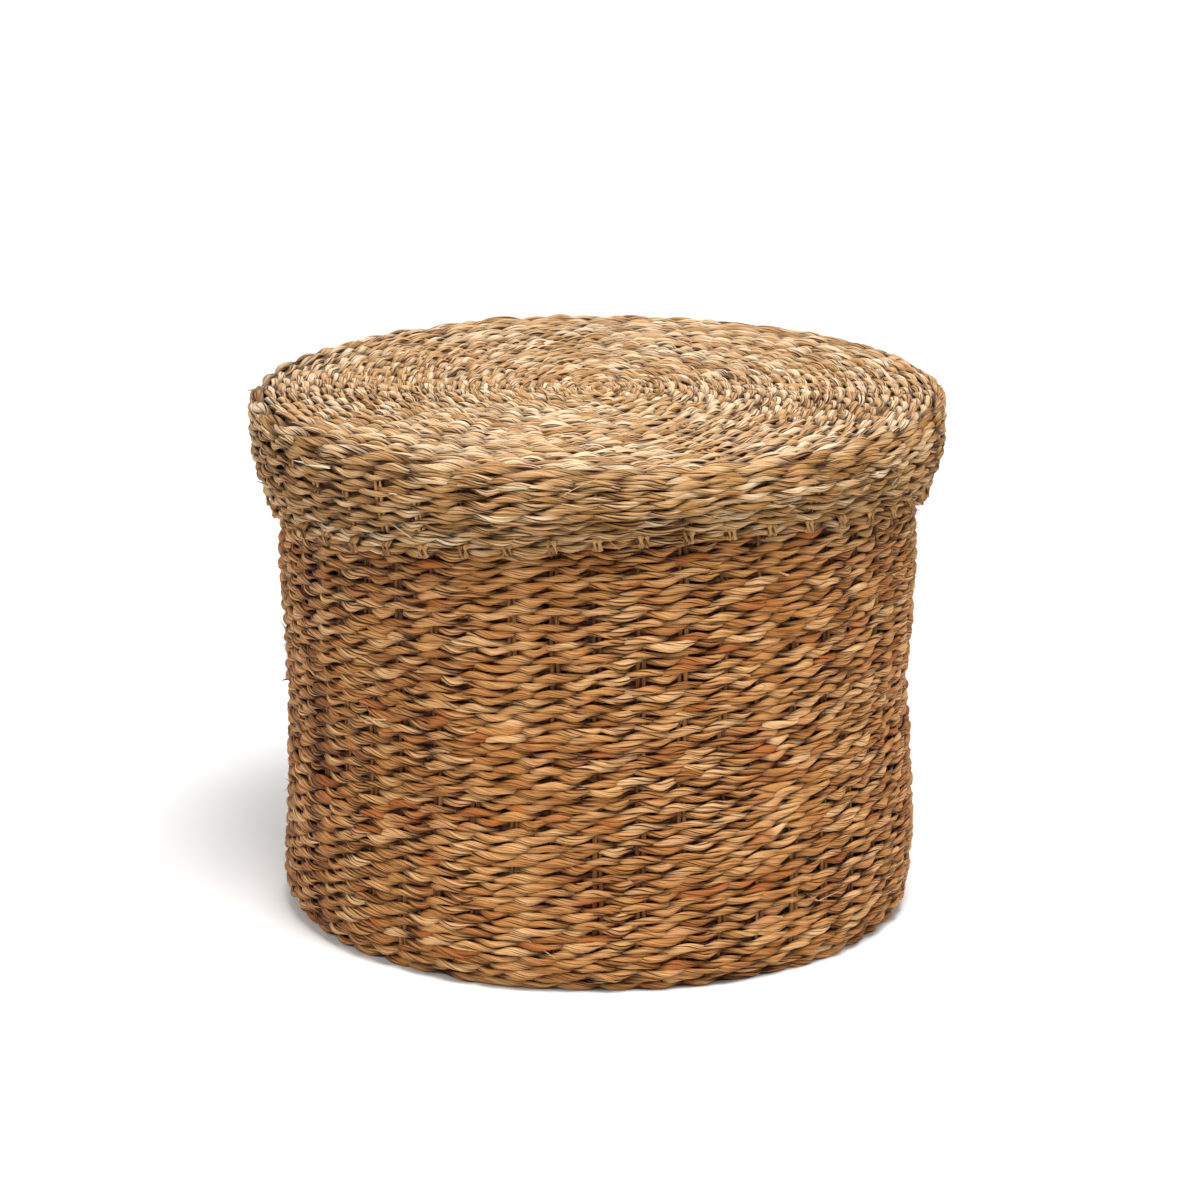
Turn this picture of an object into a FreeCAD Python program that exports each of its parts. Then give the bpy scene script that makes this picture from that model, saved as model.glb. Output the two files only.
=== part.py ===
import FreeCAD, Part
import os
import Sketcher

# A round lidded laundry basket, twined from seagrass strands round upright stakes.
# Millimetres, +Z up, the origin at the middle of the foot. The wall and the lid are built of
# courses: a course is one turn of two strands twisted round every stake. The lid is a cap
# that drops over the rim, so its skirt is sized from the wall that it slides down.

SIZES = {
    "wall_diameter": 400,           # outside, at the foot's bulge and at the shoulder
    "wall_height": 323,             # foot to rim, without the lid
    "weave_thickness": 9,           # inside to outside of a wall course
    "base_thickness": 9,
    "foot_corner": 25,              # radius from the foot into the wall
    "waist_depth": 3.5,             # how far the wall draws in between foot and shoulder
    "shoulder_height": 240,         # where the wall is widest, just under the lid's lip
    "neck_depth": 6,                # how far the wall draws in from shoulder to rim
    "rim_border_height": 7.5,       # the stakes bent over and tucked along the rim
    "course_count": 33,
    "strand_rounding": 1.8,         # worn edge between two courses
    "center_radius": 24,            # the crossing where the first stakes are lashed together
    "first_doubling": 62,           # radii where more stakes are let in
    "second_doubling": 112,
    "stake_start": 17,              # how near the middle the first stakes reach
    "stake_width": 7,                # a stake is two leaf cords lying side by side
    "stake_thickness": 2.2,
    "stake_tip_cover": 2,           # border left over a stake's tip
    "wall_stake_count": 48,
    "lid_stake_count": 48,
    "lid_thickness": 6.6,
    "lid_depth": 60,                # top of the lid to its lip
    "lid_corner": 9,               # radius from the lid's top into its skirt
    "lid_bulge_depth": 22,          # how far down the skirt is at its widest
    "lip_taper": 12,                # how far the skirt draws in from the bulge to the lip
    "lid_border_height": 8,
    "skirt_course_count": 5,
    "skirt_clearance": 0.5,         # lip to wall, on the radius
    "seat_gap": 0.3,                # rim to the underside of the lid
}
# Round the basket, one stake in four starts at the crossing and the others are let in between
STAKE_STARTS = ("stake_start", "second_doubling", "first_doubling", "second_doubling")

doc = FreeCAD.newDocument("laundry_basket")
sheet = doc.addObject("Spreadsheet::Sheet", "sizes")
for row, (alias, size) in enumerate(SIZES.items(), start=1):
    sheet.set(f"A{row}", alias)
    sheet.set(f"B{row}", str(size))
    sheet.setAlias(f"B{row}", alias)
doc.recompute()
nodes = []


def value(expression):
    """The number that an expression over the sheet gives."""
    return float(sheet.evalExpression(str(expression)))


# Places that several pieces share, as expressions over the sheet

COURSES_TOP = "(sizes.wall_height - sizes.rim_border_height)"
LID_TOP = "(sizes.wall_height + sizes.seat_gap + sizes.lid_thickness)"
LIP_HEIGHT = f"({LID_TOP} - sizes.lid_depth)"
LID_UNDERSIDE = f"({LID_TOP} - sizes.lid_thickness)"


def wall_radius(height):
    """Outside radius of the wall at a height: foot corner, then waist, then neck."""
    corner_rise = f"max(0; sizes.foot_corner - {height})"
    corner = f"(sizes.foot_corner - sqrt(sizes.foot_corner^2 - {corner_rise}^2))"
    side = f"(({height} - sizes.foot_corner) / (sizes.shoulder_height - sizes.foot_corner))"
    waist = f"(sizes.waist_depth * sin(180 deg * min(1; max(0; {side})))^2)"
    above = f"max(0; {height} - sizes.shoulder_height)"
    neck_rise = "(sizes.wall_height - sizes.shoulder_height)"
    neck = f"(sizes.neck_depth * sin(90 deg * {above} / {neck_rise})^2)"
    return f"(sizes.wall_diameter / 2 - {corner} - {waist} - {neck})"


LIP_RADIUS = f"({wall_radius(LIP_HEIGHT)} + sizes.skirt_clearance + sizes.lid_thickness)"
LID_RADIUS = f"({LIP_RADIUS} + sizes.lip_taper)"
LID_FLAT_RADIUS = f"({LID_RADIUS} - sizes.lid_corner)"
CORNER_ANGLES = (0, 30, 60, 90)     # the lid's corner, from its side round to its top


def skirt_radius(depth):
    """Outside radius of the skirt at a depth below the lid's top, under its corner."""
    below = f"max(0; {depth} - sizes.lid_bulge_depth)"
    run = "(sizes.lid_depth - sizes.lid_bulge_depth)"
    return f"({LID_RADIUS} - sizes.lip_taper * sin(90 deg * {below} / {run})^2)"


def course_edge(number):
    """Height of the joint above a wall course. The first course is as high as the base is thick."""
    if number == 0:
        return "0"
    rise = f"({COURSES_TOP} - sizes.base_thickness)"
    return f"(sizes.base_thickness + {rise} * {number - 1} / (sizes.course_count - 1))"


def skirt_edge(number):
    """Depth of the joint below a skirt course, counted from the edge wale."""
    run = "(sizes.lid_depth - sizes.lid_border_height - sizes.lid_corner)"
    return f"(sizes.lid_corner + {run} * {number} / sizes.skirt_course_count)"


def outside_edges(ring):
    """Names of a ring's two outside edges, the lowest and the highest."""
    names = []
    for level in (ring.BoundBox.ZMin, ring.BoundBox.ZMax):
        circles = []
        for number, edge in enumerate(ring.Edges, start=1):
            if isinstance(edge.Curve, Part.Circle) and abs(edge.Curve.Center.z - level) < 0.01:
                circles.append((edge.Curve.Radius, f"Edge{number}"))
        names.append(max(circles)[1])
    return names


def add_ring(label, corners, rounding=None):
    """A ring turned from a section whose corners are (radius, height) expressions, in order."""
    body = doc.addObject("PartDesign::Body", label)
    sketch = body.newObject("Sketcher::SketchObject", f"{label}_section")
    plane = next(item for item in body.Origin.OriginFeatures if item.Role == "XZ_Plane")
    sketch.AttachmentSupport = [(plane, "")]
    sketch.MapMode = "FlatFace"
    points = [FreeCAD.Vector(value(radius), value(height), 0) for radius, height in corners]
    count = len(points)
    for side in range(count):
        sketch.addGeometry(Part.LineSegment(points[side], points[(side + 1) % count]))
    for side in range(count):
        sketch.addConstraint(Sketcher.Constraint("Coincident", side, 2, (side + 1) % count, 1))
    for side, corner in enumerate(corners):
        for kind, place in zip(("DistanceX", "DistanceY"), corner):
            index = sketch.addConstraint(Sketcher.Constraint(kind, -1, 1, side, 1, value(place)))
            sketch.setExpression(f"Constraints[{index}]", str(place))
    turned = body.newObject("PartDesign::Revolution", f"{label}_turned")
    turned.Profile = sketch
    turned.ReferenceAxis = (sketch, ["V_Axis"])
    turned.Angle = 360
    if rounding:
        doc.recompute()
        worn = body.newObject("PartDesign::Chamfer", f"{label}_worn")
        worn.Base = (turned, outside_edges(turned.Shape))
        worn.setExpression("Size", rounding)
    nodes.append(body)


def add_sloped_ring(label, low, high, thickness, rounding=None):
    """A course between two (radius, height) places on the outside, as thick all the way up."""
    corners = [low, high]
    corners.append((f"{high[0]} - {thickness}", high[1]))
    corners.append((f"{low[0]} - {thickness}", low[1]))
    add_ring(label, corners, rounding)


def add_flat_ring(label, inner, outer, low, high):
    """A flat woven band between two radii."""
    add_ring(label, [(inner, low), (outer, low), (outer, high), (inner, high)])


def add_disc(label, radius, low, thickness):
    """The lashed crossing in the middle of the base or the lid."""
    disc = doc.addObject("Part::Cylinder", label)
    disc.setExpression("Radius", radius)
    disc.setExpression("Height", thickness)
    disc.setExpression(".Placement.Base.z", str(low))
    nodes.append(disc)


def corner_place(reach, angle):
    """A (radius, height) place on the lid's rounded corner, at a reach from the corner's centre."""
    radius = f"{LID_FLAT_RADIUS} + {reach} * cos({angle} deg)"
    return (radius, f"{LID_TOP} - sizes.lid_corner + {reach} * sin({angle} deg)")


def strip_face(path, thickness):
    """A strip's side view: a face of even thickness along a path of (radius, height) points."""
    left = []
    right = []
    last = len(path) - 1
    for index, point in enumerate(path):
        before = (point - path[index - 1]).normalize() if index > 0 else None
        after = (path[index + 1] - point).normalize() if index < last else None
        along = ((before or after) + (after or before)).normalize()
        across = FreeCAD.Vector(-along.z, 0, along.x)
        reach = thickness / 2 / along.dot(after or before)
        left.append(point + across * reach)
        right.append(point - across * reach)
    outline = left + right[::-1]
    return Part.Face(Part.makePolygon(outline + outline[:1]))


def add_stakes(label, count, path_from):
    """Stakes spread round the axis. path_from gives a stake's path from its inner end."""
    width = value("sizes.stake_width")
    thickness = value("sizes.stake_thickness")
    stakes = []
    for start in STAKE_STARTS:
        face = strip_face(path_from(f"sizes.{start}"), thickness)
        face.translate(FreeCAD.Vector(0, -width / 2, 0))
        stakes.append(face.extrude(FreeCAD.Vector(0, width, 0)))
    placed = []
    for number in range(count):
        stake = stakes[number % len(stakes)].copy()
        stake.rotate(FreeCAD.Vector(0, 0, 0), FreeCAD.Vector(0, 0, 1), 360 * number / count)
        placed.append(stake)
    group = doc.addObject("Part::Feature", label)
    group.Shape = Part.makeCompound(placed)
    nodes.append(group)


def point(radius, height):
    return FreeCAD.Vector(value(radius), 0, value(height))


def wall_stake_path(start):
    """Out along the base, round the foot corner and up inside the wall to the rim border."""
    base_middle = "sizes.base_thickness / 2"
    half = "sizes.weave_thickness / 2"
    bend = f"({wall_radius('0')} + {wall_radius('sizes.base_thickness')}) / 2 - {half}"
    path = [point(start, base_middle), point(bend, base_middle)]
    course_count = int(value("sizes.course_count"))
    edges = [1, 2, 3] + list(range(6, course_count + 1, 3))
    heights = [course_edge(number) for number in edges]
    heights.append("sizes.wall_height - sizes.stake_tip_cover")
    for height in heights:
        path.append(point(f"{wall_radius(height)} - {half}", height))
    return path


def lid_stake_path(start):
    """Out along the lid's top, round its corner and down inside the skirt to the border."""
    half = "sizes.lid_thickness / 2"
    path = [point(start, f"{LID_TOP} - {half}")]
    for angle in reversed(CORNER_ANGLES):
        path.append(point(*corner_place(f"(sizes.lid_corner - {half})", angle)))
    course_count = int(value("sizes.skirt_course_count"))
    depths = [skirt_edge(number) for number in range(1, course_count + 1)]
    depths.append("(sizes.lid_depth - sizes.stake_tip_cover)")
    for depth in depths:
        path.append(point(f"{skirt_radius(depth)} - {half}", f"{LID_TOP} - {depth}"))
    return path


def add_basket():
    """The base, the wall's courses, the rim border and the stakes that run through them."""
    top = "sizes.base_thickness"
    add_disc("base_crossing", "sizes.center_radius", 0, top)
    add_flat_ring("base_inner_weave", "sizes.center_radius", "sizes.first_doubling", 0, top)
    add_flat_ring("base_middle_weave", "sizes.first_doubling", "sizes.second_doubling", 0, top)
    foot_inside = [f"{wall_radius(height)} - sizes.weave_thickness" for height in ("0", top)]
    outer = [("sizes.second_doubling", 0), (foot_inside[0], 0)]
    outer += [(foot_inside[1], top), ("sizes.second_doubling", top)]
    add_ring("base_outer_weave", outer)
    for number in range(1, int(value("sizes.course_count")) + 1):
        low = (wall_radius(course_edge(number - 1)), course_edge(number - 1))
        high = (wall_radius(course_edge(number)), course_edge(number))
        label = f"wall_course_{number:02d}"
        add_sloped_ring(label, low, high, "sizes.weave_thickness", "sizes.strand_rounding")
    low = (wall_radius(COURSES_TOP), COURSES_TOP)
    high = (wall_radius("sizes.wall_height"), "sizes.wall_height")
    add_sloped_ring("rim_border", low, high, "sizes.weave_thickness", "sizes.strand_rounding")
    add_stakes("wall_stakes", int(value("sizes.wall_stake_count")), wall_stake_path)


def add_lid():
    """The lid's flat top, the wale at its edge, the skirt's courses, its border and stakes."""
    low = LID_UNDERSIDE
    add_disc("lid_crossing", "sizes.center_radius", low, "sizes.lid_thickness")
    add_flat_ring("lid_inner_weave", "sizes.center_radius", "sizes.first_doubling", low, LID_TOP)
    add_flat_ring("lid_middle_weave", "sizes.first_doubling", "sizes.second_doubling", low, LID_TOP)
    add_flat_ring("lid_outer_weave", "sizes.second_doubling", LID_FLAT_RADIUS, low, LID_TOP)
    edge_wale = [corner_place("sizes.lid_corner", angle) for angle in CORNER_ANGLES]
    hollow = "(sizes.lid_corner - sizes.lid_thickness)"
    edge_wale += [corner_place(hollow, angle) for angle in reversed(CORNER_ANGLES)]
    add_ring("lid_edge_wale", edge_wale)
    course_count = int(value("sizes.skirt_course_count"))
    for number in range(1, course_count + 2):
        above = skirt_edge(number - 1)
        below = skirt_edge(number) if number <= course_count else "sizes.lid_depth"
        label = f"skirt_course_{number}" if number <= course_count else "lid_border"
        low = (skirt_radius(below), f"{LID_TOP} - {below}")
        high = (skirt_radius(above), f"{LID_TOP} - {above}")
        add_sloped_ring(label, low, high, "sizes.lid_thickness", "sizes.strand_rounding")
    add_stakes("lid_stakes", int(value("sizes.lid_stake_count")), lid_stake_path)


def write_parts():
    """Check the whole document, then write each piece to its own file."""
    doc.recompute()
    failed = [item.Name for item in doc.Objects if {"Invalid", "Error"} & set(item.State)]
    failed += [node.Name for node in nodes if node.Shape.isNull() or not node.Shape.isValid()]
    if failed:
        raise RuntimeError(f"these objects failed: {failed}")
    os.makedirs("parts", exist_ok=True)
    for node in nodes:
        node.Shape.exportStep(f"parts/{node.Label}.step")
        print(f"{node.Label:20s} {node.Shape.Volume / 1000:8.1f} cm3")
    print(f"{len(nodes)} pieces, lid radius {value(LID_RADIUS):.1f}, top at {value(LID_TOP):.1f}")


add_basket()
add_lid()
write_parts()
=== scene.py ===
import math
import bpy
import numpy as np
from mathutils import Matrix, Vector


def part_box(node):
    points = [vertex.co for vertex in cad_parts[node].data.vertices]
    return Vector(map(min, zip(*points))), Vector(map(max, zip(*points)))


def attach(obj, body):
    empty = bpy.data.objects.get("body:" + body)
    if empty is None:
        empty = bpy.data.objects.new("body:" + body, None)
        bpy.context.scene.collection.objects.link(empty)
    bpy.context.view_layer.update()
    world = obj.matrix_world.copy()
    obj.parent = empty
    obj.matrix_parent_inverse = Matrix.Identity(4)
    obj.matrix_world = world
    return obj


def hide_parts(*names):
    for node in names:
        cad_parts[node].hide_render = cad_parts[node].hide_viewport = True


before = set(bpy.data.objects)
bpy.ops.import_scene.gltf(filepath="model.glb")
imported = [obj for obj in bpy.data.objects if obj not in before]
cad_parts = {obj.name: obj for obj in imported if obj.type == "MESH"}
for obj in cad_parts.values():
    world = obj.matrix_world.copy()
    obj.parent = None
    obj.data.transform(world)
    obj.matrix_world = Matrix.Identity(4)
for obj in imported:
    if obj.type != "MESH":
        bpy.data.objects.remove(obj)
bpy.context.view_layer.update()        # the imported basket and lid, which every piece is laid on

mm = 0.001
tau = 2 * math.pi


def linearColour(hexCode):
    values = [int(hexCode[i:i + 2], 16) / 255 for i in (1, 3, 5)]
    return [v / 12.92 if v <= 0.04045 else ((v + 0.055) / 1.055) ** 2.4 for v in values] + [1.0]


def addNode(tree, kind, settings=None, values=None, links=None):
    node = tree.nodes.new(kind)
    for key, value in (settings or {}).items():
        setattr(node, key, value)
    for key, value in (values or {}).items():
        node.inputs[key].default_value = value
    for key, source in (links or {}).items():
        tree.links.new(source, node.inputs[key])
    return node


creaseShadeEdge, creaseShadeFloor = 0.46, 0.38  # painted shade in the folds: it darkens them from the first height down to the second
leafSurface = {"Roughness": 0.62, "IOR": 1.45, "Specular IOR Level": 0.22}  # dry, with a little wax left


def seagrass(name, look):
    # Seagrass: the long flat leaf of a marsh sedge, dried in the sun and rolled by hand into a
    # strand. The eye gets fine fibres along the strand, folds where the leaf was rolled, a dull
    # dry surface, and leaves of straw, brown and now and then orange or grey green.
    material = bpy.data.materials.new(name)
    material.use_nodes = True
    tree = material.node_tree
    tree.nodes.clear()
    along = addNode(tree, "ShaderNodeUVMap", {"uv_map": "strand"}).outputs["UV"]
    place = addNode(tree, "ShaderNodeTexCoord").outputs["Object"]
    tone, warm, tuck = (addNode(tree, "ShaderNodeAttribute", {"attribute_name": key}).outputs["Fac"]
                        for key in ("tone", "warm", "tuck"))
    fineSpace, foldSpace = (addNode(tree, "ShaderNodeMapping", values={"Scale": look[key]},
                                    links={"Vector": along}).outputs["Vector"]
                            for key in ("fibre", "fold"))
    fine = addNode(tree, "ShaderNodeTexNoise", values={"Scale": 1.0, "Detail": 2.0, "Roughness": 0.6},
                   links={"Vector": fineSpace}).outputs["Fac"]
    fold = addNode(tree, "ShaderNodeTexNoise", values={"Scale": 1.0, "Detail": 2.0, "Roughness": 0.55},
                   links={"Vector": foldSpace}).outputs["Fac"]
    patch = addNode(tree, "ShaderNodeTexNoise", values={"Scale": look["patch"], "Detail": 1.0},
                    links={"Vector": place}).outputs["Fac"]
    level = tone
    for key, noise in (("fineShare", fine), ("foldShare", fold), ("patchShare", patch)):
        part = addNode(tree, "ShaderNodeMath", {"operation": "MULTIPLY_ADD"},
                       {1: look[key], 2: -look[key] / 2}, {0: noise}).outputs[0]
        level = addNode(tree, "ShaderNodeMath", {"operation": "ADD"}, links={0: level, 1: part}).outputs[0]
    ramp = addNode(tree, "ShaderNodeValToRGB", links={"Fac": level})
    stops = ramp.color_ramp.elements
    while len(stops) < len(look["leaf"]):
        stops.new(0.5)
    for stop, (where, colour) in zip(stops, look["leaf"]):
        stop.position = where
        stop.color = linearColour(colour)
    leaf = addNode(tree, "ShaderNodeMix", {"data_type": "RGBA"}, {7: linearColour(look["warmLeaf"])},
                   {0: warm, 6: ramp.outputs["Color"]}).outputs[2]
    # painted shade in the creases: where the fold noise is low, the leaf darkens towards the painted shade
    # colour
    creaseShade = addNode(tree, "ShaderNodeMapRange", {"interpolation_type": "SMOOTHSTEP"},
                     {"From Min": creaseShadeEdge, "From Max": creaseShadeFloor, "To Min": 0.0,
                      "To Max": look["creaseShadeShare"]},
                     {"Value": fold}).outputs[0]
    # how much painted shade each point gets, from its creases and from going in behind a stake
    depth = addNode(tree, "ShaderNodeMath", {"operation": "MULTIPLY_ADD", "use_clamp": True},
                    {1: look["tuckShadeShare"]}, {0: tuck, 2: creaseShade}).outputs[0]
    # mixes the painted shade colour into the leaf
    colour = addNode(tree, "ShaderNodeMix", {"data_type": "RGBA"}, {7: linearColour(look["paintedShadeLeaf"])},
                     {0: depth, 6: leaf}).outputs[2]
    foldBump = addNode(tree, "ShaderNodeBump", values={"Strength": 1.0, "Distance": look["foldDepth"]},
                       links={"Height": fold}).outputs["Normal"]
    fineBump = addNode(tree, "ShaderNodeBump", values={"Strength": 1.0, "Distance": look["fibreDepth"]},
                       links={"Height": fine, "Normal": foldBump}).outputs["Normal"]
    shader = addNode(tree, "ShaderNodeBsdfPrincipled",
                     values=leafSurface,
                     links={"Base Color": colour, "Normal": fineBump})
    addNode(tree, "ShaderNodeOutputMaterial", links={"Surface": shader.outputs["BSDF"]})
    return material


# leaf stops run from the darkest strands to the palest; fibre and fold are repeats per metre
# along and around the strand: fibres about 0.5 mm wide, folds about 1.2 mm wide
bodyLeaf = {
    "leaf": [(0.08, "#5F3310"), (0.34, "#9A6029"), (0.60, "#BA854C"), (0.90, "#DDB483")],
    "warmLeaf": "#A35A22",
    "paintedShadeLeaf": "#331000",          # painted shade, where a leaf is creased or goes in behind a stake
    # how strongly the creases and the tucked-in lengths get painted shade
    "creaseShadeShare": 0.9,
    "tuckShadeShare": 1.05,
    "fibre": (70, 1900, 1),
    "fold": (30, 850, 1),
    "patch": 45.0,                  # patches of one shade, about 20 mm across
    "fineShare": 0.8,
    "foldShare": 1.15,
    "patchShare": 0.25,
    "foldDepth": 1.4 * mm,
    "fibreDepth": 0.25 * mm,
}
lidLeaf = dict(
    bodyLeaf,
    leaf=[(0.10, "#5C3C18"), (0.36, "#9C6E38"), (0.60, "#BC9363"), (0.88, "#DECBAB")],
    warmLeaf="#96703F",
    # the lid's painted shade colour for its creases and tucked-in lengths
    paintedShadeLeaf="#351502",
    patch=40.0,
    foldDepth=1.2 * mm,
)
stakeLeaf = dict(
    bodyLeaf,
    leaf=[(0.10, "#4A2A10"), (0.36, "#70461F"), (0.60, "#946638"), (0.88, "#BC8E58")],
    warmLeaf="#9A5A24",
    # the stakes' painted shade colour, used only in their creases
    paintedShadeLeaf="#241305",
    creaseShadeShare=0.5,
    tuckShadeShare=0.0,
    fibre=(50, 1500, 1),
    fold=(15, 700, 1),
    patch=50.0,
    fineShare=0.5,
    foldShare=0.4,
    patchShare=0.2,
    foldDepth=0.5 * mm,
    fibreDepth=0.2 * mm,
)
bodyMaterial = seagrass("golden_seagrass_leaf", bodyLeaf)
lidMaterial = seagrass("straw_seagrass_leaf", lidLeaf)
stakeMaterial = seagrass("stake_leaf_fibre", stakeLeaf)
print("materials made")


def ripple(theta, turns, size, phases):
    # a smooth closed ripple round the basket, of the given numbers of waves per turn
    total = np.zeros_like(theta)
    for count, phase in zip(turns, phases):
        total += np.cos(count * theta + phase)
    return total * size / math.sqrt(len(turns) / 2)


def easing(value, low, high):
    share = np.clip((value - low) / (high - low), 0, 1)
    return share * share * (3 - 2 * share)


def smoothRandom(count, knots, chance, closed):
    # one random value for each knot, run together smoothly into count values
    values = chance.uniform(-1, 1, knots)
    where = np.linspace(0, knots, count, endpoint=not closed)
    low = np.floor(where).astype(int)
    share = where - low
    share = share * share * (3 - 2 * share)
    return values[low % knots] * (1 - share) + values[(low + 1) % knots] * share


def makeSection(name, ridges):
    # the outline of a rolled leaf: a round with folds, drawn the way that leaves faces outwards
    curve = bpy.data.curves.new(name, "CURVE")
    curve.dimensions = "2D"
    line = curve.splines.new("POLY")
    line.points.add(len(ridges) - 1)
    for i, size in enumerate(ridges):
        angle = -tau * i / len(ridges)
        line.points[i].co = (size * math.cos(angle), size * math.sin(angle), 0, 1)
    line.use_cyclic_u = True
    section = bpy.data.objects.new(name, curve)
    bpy.context.collection.objects.link(section)
    return section


# each section has as many sides as its key
sections = {
    10: makeSection("rolled_leaf_ten", (1.18, 0.98, 0.82, 0.85, 1.05, 1.15, 1.0, 0.78, 0.88, 1.04)),
    8: makeSection("rolled_leaf_eight", (1.18, 0.98, 0.8, 0.97, 1.15, 1.02, 0.78, 1.0)),
    6: makeSection("rolled_leaf_six", (1.06, 0.94, 1.04, 0.93, 1.08, 0.95)),
}


pointedEnd = 0.01 * mm     # a strand's cut end is drawn out to this
endMerge = 0.04 * mm       # and its last ring is merged to one point
floorClear = 0.1 * mm      # nothing goes below this height
tuckShadeFade = 1.5             # how quickly the painted shade on a strand deepens as it goes in
stripMargin, stripFill = 0.04, 0.92  # how a strip lies in its share of the map


def rollStrands(name, strands, sides, material, strips=14):
    # lays each strand as a curve with the rolled leaf as its section, and turns it into a mesh
    curve = bpy.data.curves.new(name, "CURVE")
    curve.dimensions = "3D"
    curve.twist_mode = "Z_UP"
    curve.bevel_mode = "OBJECT"
    curve.bevel_object = sections[sides]
    for strand in strands:
        count = len(strand["points"])
        line = curve.splines.new("POLY")
        line.points.add(count - 1)
        line.points.foreach_set("co", np.c_[strand["points"], np.ones(count)].ravel())
        line.points.foreach_set("radius", strand["radius"])
        line.points.foreach_set("tilt", strand["turn"])
        line.use_cyclic_u = strand["closed"]
    piece = bpy.data.objects.new(name, curve)
    bpy.context.collection.objects.link(piece)
    bpy.ops.object.select_all(action="DESELECT")
    piece.select_set(True)
    bpy.context.view_layer.objects.active = piece
    bpy.ops.object.convert(target="MESH")
    mesh = piece.data
    paintStrands(mesh, strands, sides, strips)
    mesh.materials.clear()
    mesh.materials.append(material)
    mesh.shade_smooth()
    if not all(strand["closed"] for strand in strands):
        bpy.ops.object.mode_set(mode="EDIT")
        bpy.ops.mesh.select_all(action="SELECT")
        bpy.ops.mesh.remove_doubles(threshold=endMerge)
        bpy.ops.object.mode_set(mode="OBJECT")
    return piece


def paintStrands(mesh, strands, sides, strips):
    # tone, warmth and painted shade (darker where a strand goes in) for each point, a map of metres along
    # and around the strand, and a map of strips that lie side by side, which keeps the leaf's detail when
    # it is baked
    tone, warm, tuck = [], [], []
    alongMap, stripMap = [], []
    stripRings = math.ceil(sum(len(s["points"]) for s in strands) / strips)
    start, corner = 0, 0
    positions = np.empty(len(mesh.vertices) * 3)
    mesh.vertices.foreach_get("co", positions)
    positions = positions.reshape(-1, 3)
    pressStrands(positions, strands, sides)
    positions[:, 2] = np.maximum(positions[:, 2], floorClear)
    mesh.vertices.foreach_set("co", positions.ravel())
    for strand in strands:
        count = len(strand["points"])
        faces = count if strand["closed"] else count - 1
        tone.append(np.repeat(strand["tone"], sides))
        warm.append(np.repeat(strand["warm"], sides))
        own = positions[start:start + count * sides]
        offset = np.hypot(own[:, 0], own[:, 1]) - np.repeat(strand["middle"][:, 0], sides)
        lift = own[:, 2] - np.repeat(strand["middle"][:, 1], sides)
        depth = np.abs(offset * strand["out"][0] + lift * strand["out"][1])
        # painted shade: darkest in the middle of the course, where a strand goes in behind the stakes, and
        # none beyond its reach
        tuck.append(np.clip(1 - depth / strand["reach"], 0, 1) ** tuckShadeFade)
        looped = np.diff(strand["points"], axis=0, append=strand["points"][:1])
        steps = np.linalg.norm(looped, axis=1)
        length = np.concatenate([[0], np.cumsum(steps)])
        around = tau * np.mean(strand["radius"])
        ring = np.repeat(np.arange(faces), sides)
        side = np.tile(np.arange(sides), faces)
        alongMap.append((length[ring], length[ring + 1],
                         side / sides * around, (side + 1) / sides * around))
        strip = (corner + ring) // stripRings
        inStrip = (corner + ring) % stripRings
        base = (strip + stripMargin + stripFill * side / sides) / strips
        top = (strip + stripMargin + stripFill * (side + 1) / sides) / strips
        stripMap.append((inStrip / stripRings, (inStrip + 1) / stripRings, base, top))
        corner += faces
        start += count * sides
    for key, values in (("tone", tone), ("warm", warm), ("tuck", tuck)):
        layer = mesh.attributes.new(key, "FLOAT", "POINT")
        layer.data.foreach_set("value", np.concatenate(values).astype(np.float32))
    loopPoint = np.empty(len(mesh.loops), dtype=np.int64)
    mesh.loops.foreach_get("vertex_index", loopPoint)
    loopPoint = loopPoint.reshape(-1, 4)
    while mesh.uv_layers:
        mesh.uv_layers.remove(mesh.uv_layers[0])
    firsts, ringOf, sideOf, lasts = faceCorners(strands, sides)
    isNextRing = ringOf[loopPoint] != firsts[:, None]
    isNextSide = sideOf[loopPoint] != lasts[:, None]
    for key, parts in (("OFBake", stripMap), ("strand", alongMap)):
        low, high, base, top = (np.concatenate(values)[:, None] for values in zip(*parts))
        u = np.where(isNextRing, high, low)
        v = np.where(isNextSide, top, base)
        layer = mesh.uv_layers.new(name=key)
        layer.data.foreach_set("uv", np.stack([u, v], -1).ravel().astype(np.float32))


def pressStrands(positions, strands, sides):
    # the weaver's pull presses each strand flat against its stakes, in the direction it faces
    start = 0
    for strand in strands:
        count = len(strand["points"]) * sides
        own = positions[start:start + count]
        line = np.repeat(strand["points"], sides, axis=0)
        centre = np.hypot(line[:, 0], line[:, 1])
        outward = np.hypot(own[:, 0], own[:, 1]) - centre
        upward = own[:, 2] - line[:, 2]
        out = strand["out"]
        each = np.ones(len(strand["points"]))
        deep, tall = (np.repeat(share * each, sides) for share in strand["flat"])
        proud = (outward * out[0] + upward * out[1]) * deep
        across = (upward * out[0] - outward * out[1]) * tall
        size = (centre + proud * out[0] - across * out[1]) / np.hypot(own[:, 0], own[:, 1])
        own[:, 0] *= size
        own[:, 1] *= size
        own[:, 2] = line[:, 2] + proud * out[1] + across * out[0]
        start += count


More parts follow.
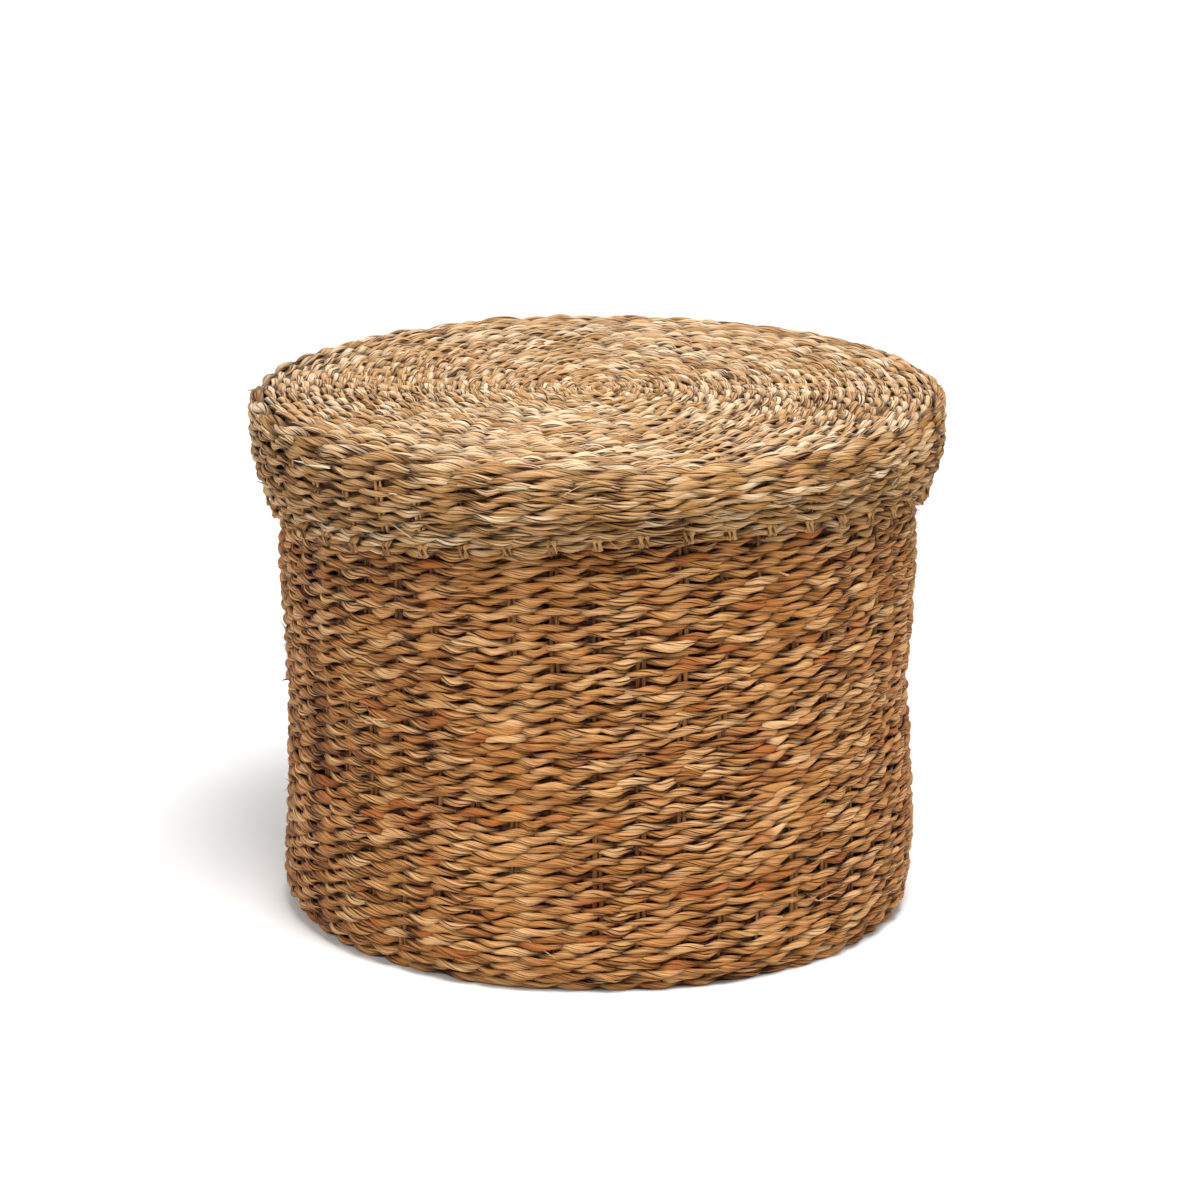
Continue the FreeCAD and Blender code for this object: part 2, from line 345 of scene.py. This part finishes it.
def faceCorners(strands, sides):
    # for each face its first ring and side, and for each point the ring and side it is on
    firsts, lasts, ringOf, sideOf = [], [], [], []
    start = 0
    for strand in strands:
        count = len(strand["points"])
        faces = count if strand["closed"] else count - 1
        firsts.append(start + np.repeat(np.arange(faces), sides))
        lasts.append(np.tile(np.arange(sides), faces))
        ringOf.append(start + np.repeat(np.arange(count), sides))
        sideOf.append(np.tile(np.arange(sides), count))
        start += count
    return [np.concatenate(parts) for parts in (firsts, ringOf, sideOf, lasts)]


warmRise, warmMost = 1.4, 0.85   # how soon a length turns orange, and how far


def twinePair(theta, ringRadius, ringHeight, phase, look, chance, closed, knots):
    # two strands that pass in turn in front of and behind the stakes, all round one ring
    outAngle = look["outAngle"]
    out = np.array([math.cos(outAngle), math.sin(outAngle)])
    up = np.array([-math.sin(outAngle), math.cos(outAngle)])
    strands = []
    count = len(theta)
    for number in (0, 1):
        jitter = look["unevenness"] * smoothRandom(count, knots, chance, closed)
        own = phase + math.pi * number + jitter
        hidden = (1 - np.cos(own)) / 2
        sway = 1 - 2 * hidden ** look["showing"]
        climb = np.sin(own) - look["steepness"] * np.sin(2 * own)
        wander = look["wander"] * smoothRandom(count, knots, chance, closed)
        swell = 1 + look["swell"] * smoothRandom(count, knots // 2, chance, closed)
        outward = look["sway"] * sway * swell
        outward = outward + look["wander"] * smoothRandom(count, knots, chance, closed)
        upward = look["climb"] * climb + look["arch"] * np.cos(2 * own) + wander
        radius = ringRadius + outward * out[0] + upward * up[0]
        height = ringHeight + outward * out[1] + upward * up[1]
        points = np.c_[radius * np.sin(theta), -radius * np.cos(theta), height]
        thickness = look["thick"] * swell * (1 - look["taper"] * np.sin(own) ** 2)
        if not closed:
            thickness[0] = thickness[-1] = pointedEnd
        turns = round(look["twist"] * (theta[-1] - theta[0]) / tau)
        turn = np.linspace(0, tau * turns, count, endpoint=not closed)
        turn = turn + look["twistWander"] * smoothRandom(count, knots, chance, closed)
        tone = look["toneBase"] + look["toneSpread"] * smoothRandom(count, knots // 2, chance, closed)
        leaves = max(3, knots // 9)
        tone = tone + look["longSpread"] * smoothRandom(count, leaves, chance, closed)
        warmth = smoothRandom(count, knots // 2, chance, closed)
        warm = np.clip((warmth - look["warmFrom"]) / (1 - look["warmFrom"]) * warmRise, 0, warmMost)
        deep = look["flat"][0] * (1 - look["spread"] * 0.6 * hidden ** 2)
        tall = look["flat"][1] * (1 + look["spread"] * hidden ** 2)
        strands.append({"points": points, "radius": thickness, "turn": turn, "closed": closed,
                        "tone": tone, "warm": warm, "out": out,
                        "reach": look["sway"] + look["thick"] * 0.75,  # this far out it is in full light
                        "flat": (deep, tall), "middle": np.c_[ringRadius, ringHeight]})
    return strands


def twoPairs(theta, radius, height, phase, look, chance):
    # a course of two twined pairs, the lower one a quarter turn behind the upper one
    knots = look["pairs"] * 2
    lower = dict(look, arch=-look["arch"])
    strands = twinePair(theta, radius, height + look["split"], phase, look, chance, True, knots)
    strands += twinePair(theta, radius, height - look["split"], phase + math.pi / 2, lower, chance,
                         True, knots)
    return strands


def finishPiece(piece, body, nodes):
    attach(piece, body)
    if nodes:
        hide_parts(*nodes)


wall = {
    "pairs": 24,              # half of the 48 stakes: each strand is in front of every second one
    "ringsPerPair": 16,
    "sides": 10,
    "inset": 4.7 * mm,        # a course's middle lies this far inside its ring's outside
    "split": 2.1 * mm,        # a course is two twined pairs, this far above and below its middle
    "flat": (0.85, 1.2),      # a strand is pressed flat: its depth and its height
    "spread": 0.35,           # the leaf spreads flatter where it is tucked away
    "outAngle": 0.0,
    "showing": 1.25,          # above 1, a strand shows for longer than it is tucked away
    "sway": 2.7 * mm,         # how far a strand goes out and in round the stakes
    "arch": 0.75 * mm,        # the upper pair's strands arch up where they show, the lower one's sag
    "climb": 0.8 * mm,        # how far a strand rises as it passes in front, and falls behind
    "steepness": 0.0875,      # it rises sooner than it falls
    "thick": 2.2 * mm,
    "taper": 0.2,             # full in front of a stake, thin where two strands cross
    "swell": 0.13,
    "wander": 0.55 * mm,
    "unevenness": 0.8,
    "twist": 20,              # turns of the rolled leaf in once round the basket
    "twistWander": 0.5,
    "toneBase": 0.5,
    "toneSpread": 0.19,
    "longSpread": 0.12,
    "warmFrom": 0.72,         # the higher, the fewer orange lengths
    "lean": 8 * mm,           # one side of the weave runs higher than the other
    "bow": 7 * mm,            # front and back of the middle courses run higher than the sides
    "rowRise": 0.75 * mm,
    "rowSwing": 0.8 * mm,
    "rowOut": 0.35 * mm,      # how unevenly the courses are pulled in
    "rowWander": 0.35 * mm,
    "startSpread": 0.12,      # how far a course starts before or after the one below
}
courseNames = sorted(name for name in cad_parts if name.startswith("wall_course_"))
chance = np.random.default_rng(41)
slowTurns = (2, 3, 5, 8, 11)
slowPhases = chance.uniform(0, tau, len(slowTurns))
slowDrift = chance.normal(0, 0.45, len(slowTurns))
swingPhases = chance.uniform(0, tau, len(slowTurns))
swingDrift = chance.normal(0, 0.55, len(slowTurns))


def wallShift(theta, height):
    # the weave of the wall leans to one side and bows a little, and is level again at the rim
    low = easing(height, 0.0, 0.080)
    high = 1 - easing(height, 0.265, 0.318)
    middle = easing(height, 0.150, 0.240) * high
    return wall["lean"] * low * high * np.sin(theta) + wall["bow"] * middle * np.cos(2 * theta) / 2


def ringTheta(look):
    # the angles of a course's points, from the back round to the back
    count = look["pairs"] * look["ringsPerPair"]
    return np.linspace(0, tau, count, endpoint=False) + math.pi


def nodeRing(nodeName, inset):
    # the radius and height of a course's middle
    low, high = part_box(nodeName)
    return high[0] - inset, (low[2] + high[2]) / 2


theta = ringTheta(wall)
for row, nodeName in enumerate(courseNames):
    middleRadius, middleHeight = nodeRing(nodeName, wall["inset"])
    radius = middleRadius + ripple(theta, slowTurns, wall["rowSwing"], swingPhases + row * swingDrift)
    radius += chance.normal(0, wall["rowOut"])
    height = middleHeight + wallShift(theta, middleHeight)
    firm = easing(middleHeight, 0.0, 0.03) * (1 - easing(middleHeight, 0.29, 0.31))
    height = height + firm * ripple(theta, slowTurns, wall["rowRise"], slowPhases + row * slowDrift)
    height = height + firm * wall["rowWander"] * smoothRandom(len(theta), 31, chance, True)
    phase = wall["pairs"] * theta + chance.normal(0, wall["startSpread"])
    strands = twoPairs(theta, radius, height, phase, wall, chance)
    for strand in strands:
        strand["points"][:, 2] = np.maximum(strand["points"][:, 2], strand["radius"] * 1.3)
    piece = rollStrands(f"{nodeName}_strands", strands, wall["sides"], bodyMaterial, 20)
    finishPiece(piece, "basket", [nodeName])
print("wall courses laid:", len(courseNames))

# plain twining: each strand shows half the way
rope = dict(wall, showing=1, steepness=0, arch=0, taper=0.14, spread=0)
rim = dict(rope, pairs=30, inset=4.6 * mm, climb=2.0 * mm, sway=1.9 * mm, thick=2.4 * mm)


def levelPair(theta, radius, height, look, chance):
    # one twined pair all round at one radius and height
    return twinePair(theta, radius + 0 * theta, height + 0 * theta, look["pairs"] * theta, look, chance,
                     True, look["pairs"] * 2)


rimRadius, rimHeight = nodeRing("rim_border", rim["inset"])
pair = levelPair(ringTheta(rim), rimRadius, rimHeight, rim, chance)
piece = rollStrands("rim_border_strands", pair, rim["sides"], bodyMaterial)
finishPiece(piece, "basket", ["rim_border"])
print("rim border laid")


def spiralBand(band, body, slotName, material, look, chance):
    # one band of a flat spiral, from one radius out to another
    reach = band["to"] + (look["pitch"] / 2 if band["last"] else 0)  # the last turn closes on itself
    turns = (reach - band["from"]) / look["pitch"]
    count = int(turns * band["pairs"] * band["rings"])
    theta = np.linspace(0, tau * turns, count) + band["start"]
    radius = np.minimum(np.linspace(band["from"], reach, count), band["to"])
    radius = radius + ripple(theta, (3, 5, 7), look["ringSwing"], look["swingTurns"])
    height = look["height"] + ripple(theta, (2, 3, 9), look["lumps"], look["lumpTurns"])
    height = height + look["lumps"] * smoothRandom(count, int(turns * 14), chance, False)
    phase = band["phase"] + band["pairs"] * (theta - theta[0])
    knots = int(turns * band["pairs"] * 2)
    pair = twinePair(theta, radius, height, phase, look, chance, False, knots)
    for strand in pair:
        strand["points"][:, 2] = np.maximum(strand["points"][:, 2], strand["radius"] * 0.9)
    piece = rollStrands(f"{band['node']}_strands", pair, band["sides"], material, band["strips"])
    finishPiece(piece, body, [band["node"]])
    return phase[-1], theta[-1]


def layBands(nodeNames, edges, pairs, rings, sides, strips, start, *rest):
    # the bands follow on from each other, so the spiral runs through
    phase = 0.0
    for i, nodeName in enumerate(nodeNames):
        band = {"node": nodeName, "from": edges[i] * mm, "to": edges[i + 1] * mm, "pairs": pairs[i],
                "rings": rings[i], "sides": sides[i], "strips": strips[i], "phase": phase,
                "start": start, "last": i == len(nodeNames) - 1}
        phase, start = spiralBand(band, *rest)


lidTopHeight = nodeRing("lid_outer_weave", 0)[1]
spiral = dict(rope, swingTurns=(0.4, 2.1, 4.4), lumpTurns=(1.0, 3.3, 0.2))
lidTop = dict(spiral, pitch=7 * mm, outAngle=math.pi / 2, sway=1.6 * mm, climb=1.6 * mm, toneBase=0.60,
              thick=2.15 * mm, flat=(0.9, 1.3), taper=0.12, wander=0.35 * mm, height=lidTopHeight,
              ringSwing=0.6 * mm, lumps=0.5 * mm, twist=6, unevenness=1.0, warmFrom=0.8,
              toneSpread=0.15, longSpread=0.08)
foot = dict(spiral, pitch=9 * mm, outAngle=-math.pi / 2, sway=2.0 * mm, climb=2.1 * mm,
            thick=2.45 * mm, flat=(0.9, 1.25), height=4.5 * mm, ringSwing=0.5 * mm,
            lumps=0.15 * mm, twist=8)
# the edges between bands in mm, then for each band the pairs in one turn, the points in each
# pair, the sides of a strand and the strips of its map
layBands(["lid_crossing", "lid_inner_weave", "lid_middle_weave", "lid_outer_weave"],
         (3, 24, 62, 112, 206.5), (5.3, 10.37, 19.37, 32.37), (13, 13, 13, 13), (10, 8, 8, 8),
         (4, 10, 16, 28), 0.6, "lid", "lid_seagrass", lidMaterial, lidTop, np.random.default_rng(97))
print("lid top laid")
layBands(["base_crossing", "base_inner_weave", "base_middle_weave", "base_outer_weave"],
         (3, 24, 62, 112, 183), (6.3, 12.4, 22.4, 36.4), (12, 10, 9, 10), (8, 8, 8, 8),
         (4, 8, 12, 20), 0.0, "basket", "body_seagrass", bodyMaterial, foot, np.random.default_rng(23))
print("foot laid")


skirt = dict(
    wall,
    pairs=26,
    inset=3.9 * mm,
    split=1.8 * mm,
    sway=2.6 * mm,
    climb=0.7 * mm,
    thick=1.85 * mm,
    toneBase=0.46,
    wander=0.35 * mm,
    warmFrom=0.86,
    rowSwing=0.5 * mm,
    rowWander=0.3 * mm,
)
lipWaves = ((1, 4.6 * mm, 0.9), (2, 6.5 * mm, 0.55), (3, 2.5 * mm, 0.9))  # waves in a turn, size, angle
lipLow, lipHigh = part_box("lid_border")[0][2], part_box("lid_edge_wale")[1][2]


def lipShift(theta, height):
    # the lip isn't level: the skirt's courses fan out from the level top down to it
    share = easing(lipHigh - height, 0.008, lipHigh - lipLow) ** 0.8
    return share * sum(size * np.cos(count * theta - turn) for count, size, turn in lipWaves)


# the thick pair at the edge and a finer one that fills in below it, each placed from the outer
# top edge of its ring: this far in and this far down
wale = dict(rope, pairs=20, ringsPerPair=24, outAngle=math.radians(50), sway=2.0 * mm, climb=2.2 * mm,
            thick=2.9 * mm, warmFrom=0.86, inset=6.3 * mm, down=5.4 * mm)
waleUnder = dict(skirt, outAngle=math.radians(12), inset=4.4 * mm, down=8.3 * mm)
waleRadius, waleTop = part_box("lid_edge_wale")[1][0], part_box("lid_edge_wale")[1][2]
chance = np.random.default_rng(7)
strands = []
for look in (wale, waleUnder):
    strands += levelPair(ringTheta(wale), waleRadius - look["inset"], waleTop - look["down"], look, chance)
piece = rollStrands("lid_edge_wale_strands", strands, wale["sides"], lidMaterial, 20)
finishPiece(piece, "lid", ["lid_edge_wale"])
skirtRows = [f"skirt_course_{i}" for i in range(1, 6)] + ["lid_border"]
theta = ringTheta(skirt)
for row, nodeName in enumerate(skirtRows):
    middleRadius, middleHeight = nodeRing(nodeName, skirt["inset"])
    radius = middleRadius + ripple(theta, slowTurns, skirt["rowSwing"], swingPhases + row * swingDrift)
    height = middleHeight + lipShift(theta, middleHeight)
    height = height + skirt["rowWander"] * smoothRandom(len(theta), 31, chance, True)
    phase = skirt["pairs"] * theta + chance.normal(0, skirt["startSpread"])
    strands = twoPairs(theta, radius, height, phase, skirt, chance)
    piece = rollStrands(f"{nodeName}_strands", strands, skirt["sides"], lidMaterial, 20)
    finishPiece(piece, "lid", [nodeName])
print("lid skirt laid")


stakes = {
    "count": 48,
    "apart": 3.4 * mm,        # a stake is two leaf cords side by side
    "thick": 1.5 * mm,
    "tone": 0.3,
    "tip": 1,
    "wander": 0.5 * mm,
    "step": 5 * mm,           # between a cord's points
    "flat": (0.8, 1.1),
}
lidStakes = dict(stakes, thick=1.25 * mm, tone=0.9, tip=1.45)  # paler and thicker where they wrap the lip


def stakeStrand(angle, side, profile, look, chance, shift):
    # one cord along its profile of (radius, height) points, with a little of its own wander
    line = np.array(profile)
    steps = np.concatenate([[0], np.cumsum(np.linalg.norm(np.diff(line, axis=0), axis=1))])
    where = np.linspace(0, steps[-1], int(steps[-1] / look["step"]))
    count = len(where)
    radius = np.interp(where, steps, line[:, 0])
    height = np.interp(where, steps, line[:, 1])
    apart = side * look["apart"] / 2 + look["wander"] * smoothRandom(count, 9, chance, False)
    theta = angle + apart / np.maximum(radius, 0.03)
    height = height + shift(theta, height)
    size = look["thick"] * (1 + 0.15 * smoothRandom(count, 9, chance, False))
    size *= np.interp(where, [steps[-1] - 24 * mm, steps[-1] - 17 * mm], [1, look["tip"]])
    size[0] = size[-1] = pointedEnd
    return {"points": np.c_[radius * np.sin(theta), -radius * np.cos(theta), height], "radius": size,
            "turn": chance.uniform(0, tau) + np.linspace(0, 4, count), "closed": False,
            "tone": look["tone"] + 0.3 * smoothRandom(count, 5, chance, False),
            "warm": np.zeros(count), "out": np.array([1.0, 0.0]), "reach": 1.0,
            "flat": look["flat"], "middle": np.c_[radius, height]}


def layStakes(name, body, nodeName, flatHeight, profile, look, chance, shift):
    # one in four starts at the crossing, and the others are let in further out
    strands = []
    for i in range(look["count"]):
        start = 112 * mm if i % 2 else (62 * mm if i % 4 else 17 * mm)
        for side in (-1, 1):
            strands.append(stakeStrand(tau / look["count"] * i, side, [(start, flatHeight)] + profile,
                                       look, chance, shift))
    piece = rollStrands(name, strands, 6, stakeMaterial, 50)
    finishPiece(piece, body, [nodeName])


chance = np.random.default_rng(5)
wallLine = [nodeRing(nodeName, wall["inset"]) for nodeName in courseNames]
wallLine[0] = (wallLine[0][0] - 1.5 * mm, 5.5 * mm)     # turns up at the foot's corner
wallLine.append((wallLine[-1][0], 319 * mm))            # and is tucked in at the rim
layStakes("wall_stakes_fibre", "basket", "wall_stakes", foot["height"], wallLine, stakes, chance, wallShift)
lipIn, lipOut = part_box("lid_border")
# at the lip each stake comes out above the border, wraps over it and is tucked in under it
lidLine = [(193 * mm, lidTopHeight - 0.5 * mm), (waleRadius - 8.5 * mm, waleTop - 8 * mm)]
lidLine += [nodeRing(nodeName, skirt["inset"]) for nodeName in skirtRows[:-1]]
lidLine += [
    (lipOut[0] - 2.5 * mm, lipOut[2] + 0.5 * mm),
    (lipOut[0] + 0.9 * mm, lipOut[2] - 2 * mm),
    (lipOut[0] + 1.1 * mm, lipIn[2] + 2 * mm),
    (lipOut[0] - 0.2 * mm, lipIn[2] - 0.6 * mm),
    (lipOut[0] - 4.5 * mm, lipIn[2] - 0.6 * mm),
]
layStakes("lid_stakes_fibre", "lid", "lid_stakes", lidTopHeight, lidLine, lidStakes, chance, lipShift)
print("stakes laid")

ends = {"count": 70, "tone": 0.62, "frayed": 0.35, "fibres": 4, "orange": 0.12, "points": 7}
lidEnds = dict(ends, count=40, tone=0.66)


def looseEnds(look, nodeNames, low, high, shift, chance):
    # short ends of leaf that have sprung out of the weave, some of them frayed into a few fibres
    rings = np.array([(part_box(name)[0][2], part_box(name)[1][0]) for name in nodeNames])
    strands = []
    for i in range(look["count"]):
        angle, base = chance.uniform(0, tau), chance.uniform(low, high)
        frayed = chance.random() < look["frayed"]
        for fibre in range(look["fibres"] if frayed else 1):
            length = chance.uniform(9, 20) * mm
            rise = chance.normal(0.1, 0.35 if frayed else 0.2)
            proud = chance.uniform(1.0, 3.2) * mm
            size = (0.22 if frayed else chance.uniform(0.35, 0.8)) * mm
            share = np.linspace(0, 1, look["points"])
            height = base + shift(angle, base) + length * rise * share
            surface = np.interp(base, rings[:, 0], rings[:, 1])
            radius = surface - 1.2 * mm + (1.2 * mm + proud) * share ** 1.5
            theta = angle + chance.choice((-1, 1)) * length * share / radius
            strands.append({"points": np.c_[radius * np.sin(theta), -radius * np.cos(theta), height],
                            "radius": size * (1 - 0.85 * share ** 2), "turn": 3 * share, "closed": False,
                            "tone": np.full(look["points"], chance.normal(look["tone"], 0.12)),
                            "warm": np.full(look["points"], float(chance.random() < look["orange"])),
                            "out": np.array([1.0, 0.0]), "reach": 0.1 * mm, "flat": (0.6, 1.3),
                            "middle": np.c_[radius * 0, height]})
    return strands


strands = looseEnds(ends, courseNames, 0.012, 0.27, wallShift, np.random.default_rng(61))
piece = rollStrands("wall_loose_ends", strands, 6, bodyMaterial, 20)
finishPiece(piece, "basket", [])
strands = looseEnds(lidEnds, skirtRows[::-1], 0.274, 0.322, lipShift, np.random.default_rng(62))
piece = rollStrands("lid_loose_ends", strands, 6, lidMaterial, 20)
finishPiece(piece, "lid", [])
print("loose ends laid")

for section in sections.values():
    bpy.data.objects.remove(section)


studio = {
    "floor": 16,
    "paper": "#F7F7F6",
    "paperRoughness": 0.9,
    "worldStrength": 0.27,
    "distance": 3.2,
    "elevation": 16.0,         # degrees above level, seen from the middle of the basket
    "middle": 0.165,
    "aim": (0.0013, 0.0, 0.192),
    "lens": 152.0,
}
bpy.ops.object.select_all(action="DESELECT")
bpy.ops.mesh.primitive_plane_add(size=studio["floor"], location=(0, 0, 0))
floor = bpy.context.object
floor.name = "studio_floor"
paper = bpy.data.materials.new("white_seamless_paper")
paper.use_nodes = True
paperSurface = paper.node_tree.nodes["Principled BSDF"]
paperSurface.inputs["Base Color"].default_value = linearColour(studio["paper"])
paperSurface.inputs["Roughness"].default_value = studio["paperRoughness"]
floor.data.materials.append(paper)

world = bpy.data.worlds.new("studio_world")
bpy.context.scene.world = world
world.use_nodes = True
sky = world.node_tree.nodes["Background"]
sky.inputs["Color"].default_value = (1, 1, 1, 1)
sky.inputs["Strength"].default_value = studio["worldStrength"]


def areaLight(name, size, power, place, aim):
    # a square softbox that faces its aim
    bpy.ops.object.light_add(type="AREA", location=place)
    light = bpy.context.object
    light.name = name
    light.data.size = size
    light.data.energy = power
    gaze = [a - p for a, p in zip(aim, place)]
    light.rotation_euler = [math.atan2(math.hypot(gaze[0], gaze[1]), -gaze[2]), 0,
                            math.atan2(-gaze[0], gaze[1])]


areaLight("softbox_above", 1.1, 70, (0.3, -0.9, 2.3), (0, 0, 0.15))
areaLight("backdrop_light", 3.5, 210, (0, 5.0, 2.6), (0, 5.0, 0))
areaLight("softbox_left", 1.0, 22, (-1.9, -1.2, 1.5), (0, 0, 0.15))
areaLight("softbox_right", 1.0, 14, (1.9, -1.0, 1.6), (0, 0, 0.15))
tilt = math.radians(studio["elevation"])
cameraPlace = (0.0, -studio["distance"] * math.cos(tilt),
               studio["middle"] + studio["distance"] * math.sin(tilt))
bpy.ops.object.camera_add(location=cameraPlace)
camera = bpy.context.object
camera.data.lens = studio["lens"]
gaze = [a - p for a, p in zip(studio["aim"], cameraPlace)]
camera.rotation_euler = (math.pi / 2 + math.atan2(gaze[2], math.hypot(gaze[0], gaze[1])), 0,
                         math.atan2(-gaze[0], gaze[1]))
camera.data.clip_end = 50
bpy.context.scene.camera = camera
bpy.context.scene.view_settings.view_transform = "Standard"
print("stage set")
